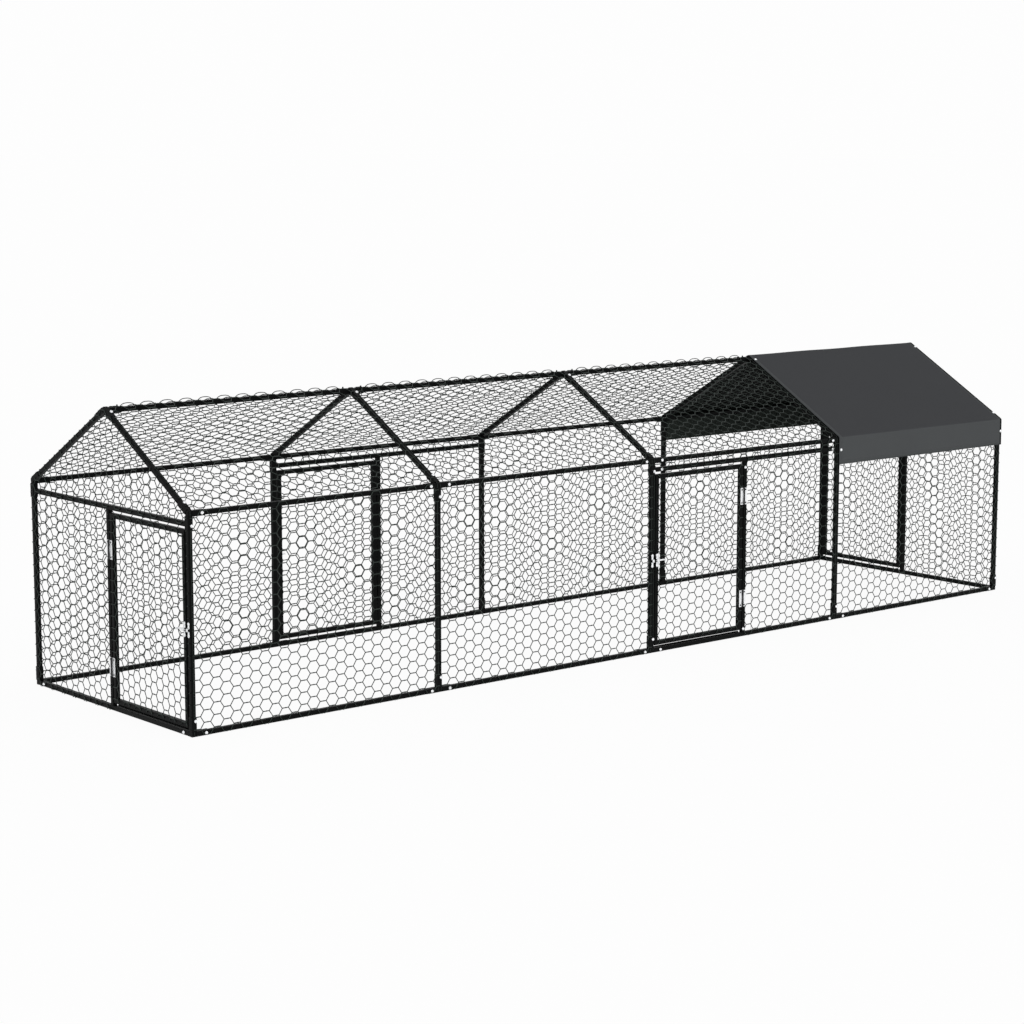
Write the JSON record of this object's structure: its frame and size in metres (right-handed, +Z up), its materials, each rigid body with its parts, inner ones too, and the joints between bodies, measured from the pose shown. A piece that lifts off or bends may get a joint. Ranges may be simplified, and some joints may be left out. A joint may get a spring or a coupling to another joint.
{
  "type": "poultry run",
  "caption": "Long low poultry run: gable-roofed square tube frame with wire netting, hinged doors with slide bolts in the sides and ends, and a roof cover over one end.",
  "frame": {"origin": "on the ground, in the middle of the run's plan", "axes": "+X along the run towards the covered end, -Y the front, +Z up"},
  "size_m": [4.03, 1.03, 1.0158],
  "materials": {
    "powder_coated_tube": "black powder-coated steel tube, satin",
    "moulded_connector": "black moulded nylon, satin, matched to the tube",
    "wire_netting": "dark plastic-coated steel wire, semi-gloss",
    "cover_sheet": "dark grey coated polyester sheet, matt",
    "zinc_plated_steel": "bright zinc-plated pressed steel"
  },
  "bodies": {
    "frame": {"front_posts": "powder_coated_tube", "back_posts": "powder_coated_tube", "front_rafters": "powder_coated_tube", "back_rafters": "powder_coated_tube", "front_ground_rails": "powder_coated_tube", "back_ground_rails": "powder_coated_tube", "front_eave_rails": "powder_coated_tube", "back_eave_rails": "powder_coated_tube", "ridge_rails": "powder_coated_tube", "end_ground_rails": "powder_coated_tube", "end_headers": "powder_coated_tube", "front_header": "powder_coated_tube", "back_header": "powder_coated_tube", "door_jambs": "powder_coated_tube", "ground_corner_connectors": "moulded_connector", "ground_tee_connectors": "moulded_connector", "eave_corner_connectors": "moulded_connector", "eave_tee_connectors": "moulded_connector", "ridge_end_connectors": "moulded_connector", "ridge_tee_connectors": "moulded_connector", "front_roof_netting": "wire_netting", "back_roof_netting": "wire_netting", "front_wall_netting": "wire_netting", "back_wall_netting": "wire_netting", "left_end_netting": "wire_netting", "right_end_netting": "wire_netting", "roof_cover": "cover_sheet", "hinge_pins": "zinc_plated_steel", "front_door_jamb_leaves": "zinc_plated_steel", "front_door_latch_keeper": "zinc_plated_steel", "back_door_jamb_leaves": "zinc_plated_steel", "back_door_latch_keeper": "zinc_plated_steel", "left_end_door_jamb_leaves": "zinc_plated_steel", "left_end_door_latch_keeper": "zinc_plated_steel", "right_end_door_jamb_leaves": "zinc_plated_steel", "right_end_door_latch_keeper": "zinc_plated_steel"},
    "front_door": {"front_door_frame": "powder_coated_tube", "front_door_netting": "wire_netting", "front_door_hinge_leaves": "zinc_plated_steel", "front_door_latch_strap": "zinc_plated_steel"},
    "front_door_bolt": {"front_door_slide_bolt": "zinc_plated_steel"},
    "back_door": {"back_door_frame": "powder_coated_tube", "back_door_netting": "wire_netting", "back_door_hinge_leaves": "zinc_plated_steel", "back_door_latch_strap": "zinc_plated_steel"},
    "back_door_bolt": {"back_door_slide_bolt": "zinc_plated_steel"},
    "left_end_door": {"left_end_door_frame": "powder_coated_tube", "left_end_door_netting": "wire_netting", "left_end_door_hinge_leaves": "zinc_plated_steel", "left_end_door_latch_strap": "zinc_plated_steel"},
    "left_end_door_bolt": {"left_end_door_slide_bolt": "zinc_plated_steel"},
    "right_end_door": {"right_end_door_frame": "powder_coated_tube", "right_end_door_netting": "wire_netting", "right_end_door_hinge_leaves": "zinc_plated_steel", "right_end_door_latch_strap": "zinc_plated_steel"},
    "right_end_door_bolt": {"right_end_door_slide_bolt": "zinc_plated_steel"}
  },
  "joints": [
    {"name": "front_door_swing", "type": "hinge", "parent": "frame", "child": "front_door", "pos_m": [0.4735, -0.5038, 0.3455], "axis": [0, 0, 1], "range_deg": [0, 165]},
    {"name": "front_door_bolt_slide", "type": "slide", "parent": "front_door", "child": "front_door_bolt", "axis": [-1, 0, 0], "range_m": [0, 0.022]},
    {"name": "back_door_swing", "type": "hinge", "parent": "frame", "child": "back_door", "pos_m": [-0.5265, 0.5038, 0.3455], "axis": [0, 0, -1], "range_deg": [0, 165]},
    {"name": "back_door_bolt_slide", "type": "slide", "parent": "back_door", "child": "back_door_bolt", "axis": [-1, 0, 0], "range_m": [0, 0.022]},
    {"name": "left_end_door_swing", "type": "hinge", "parent": "frame", "child": "left_end_door", "pos_m": [-2.0038, -0.0185, 0.3455], "axis": [0, 0, -1], "range_deg": [0, 165]},
    {"name": "left_end_door_bolt_slide", "type": "slide", "parent": "left_end_door", "child": "left_end_door_bolt", "axis": [0, -1, 0], "range_m": [0, 0.022]},
    {"name": "right_end_door_swing", "type": "hinge", "parent": "frame", "child": "right_end_door", "pos_m": [2.0038, 0.0185, 0.3455], "axis": [0, 0, -1], "range_deg": [0, 165]},
    {"name": "right_end_door_bolt_slide", "type": "slide", "parent": "right_end_door", "child": "right_end_door_bolt", "axis": [0, 1, 0], "range_m": [0, 0.022]}
  ]
}
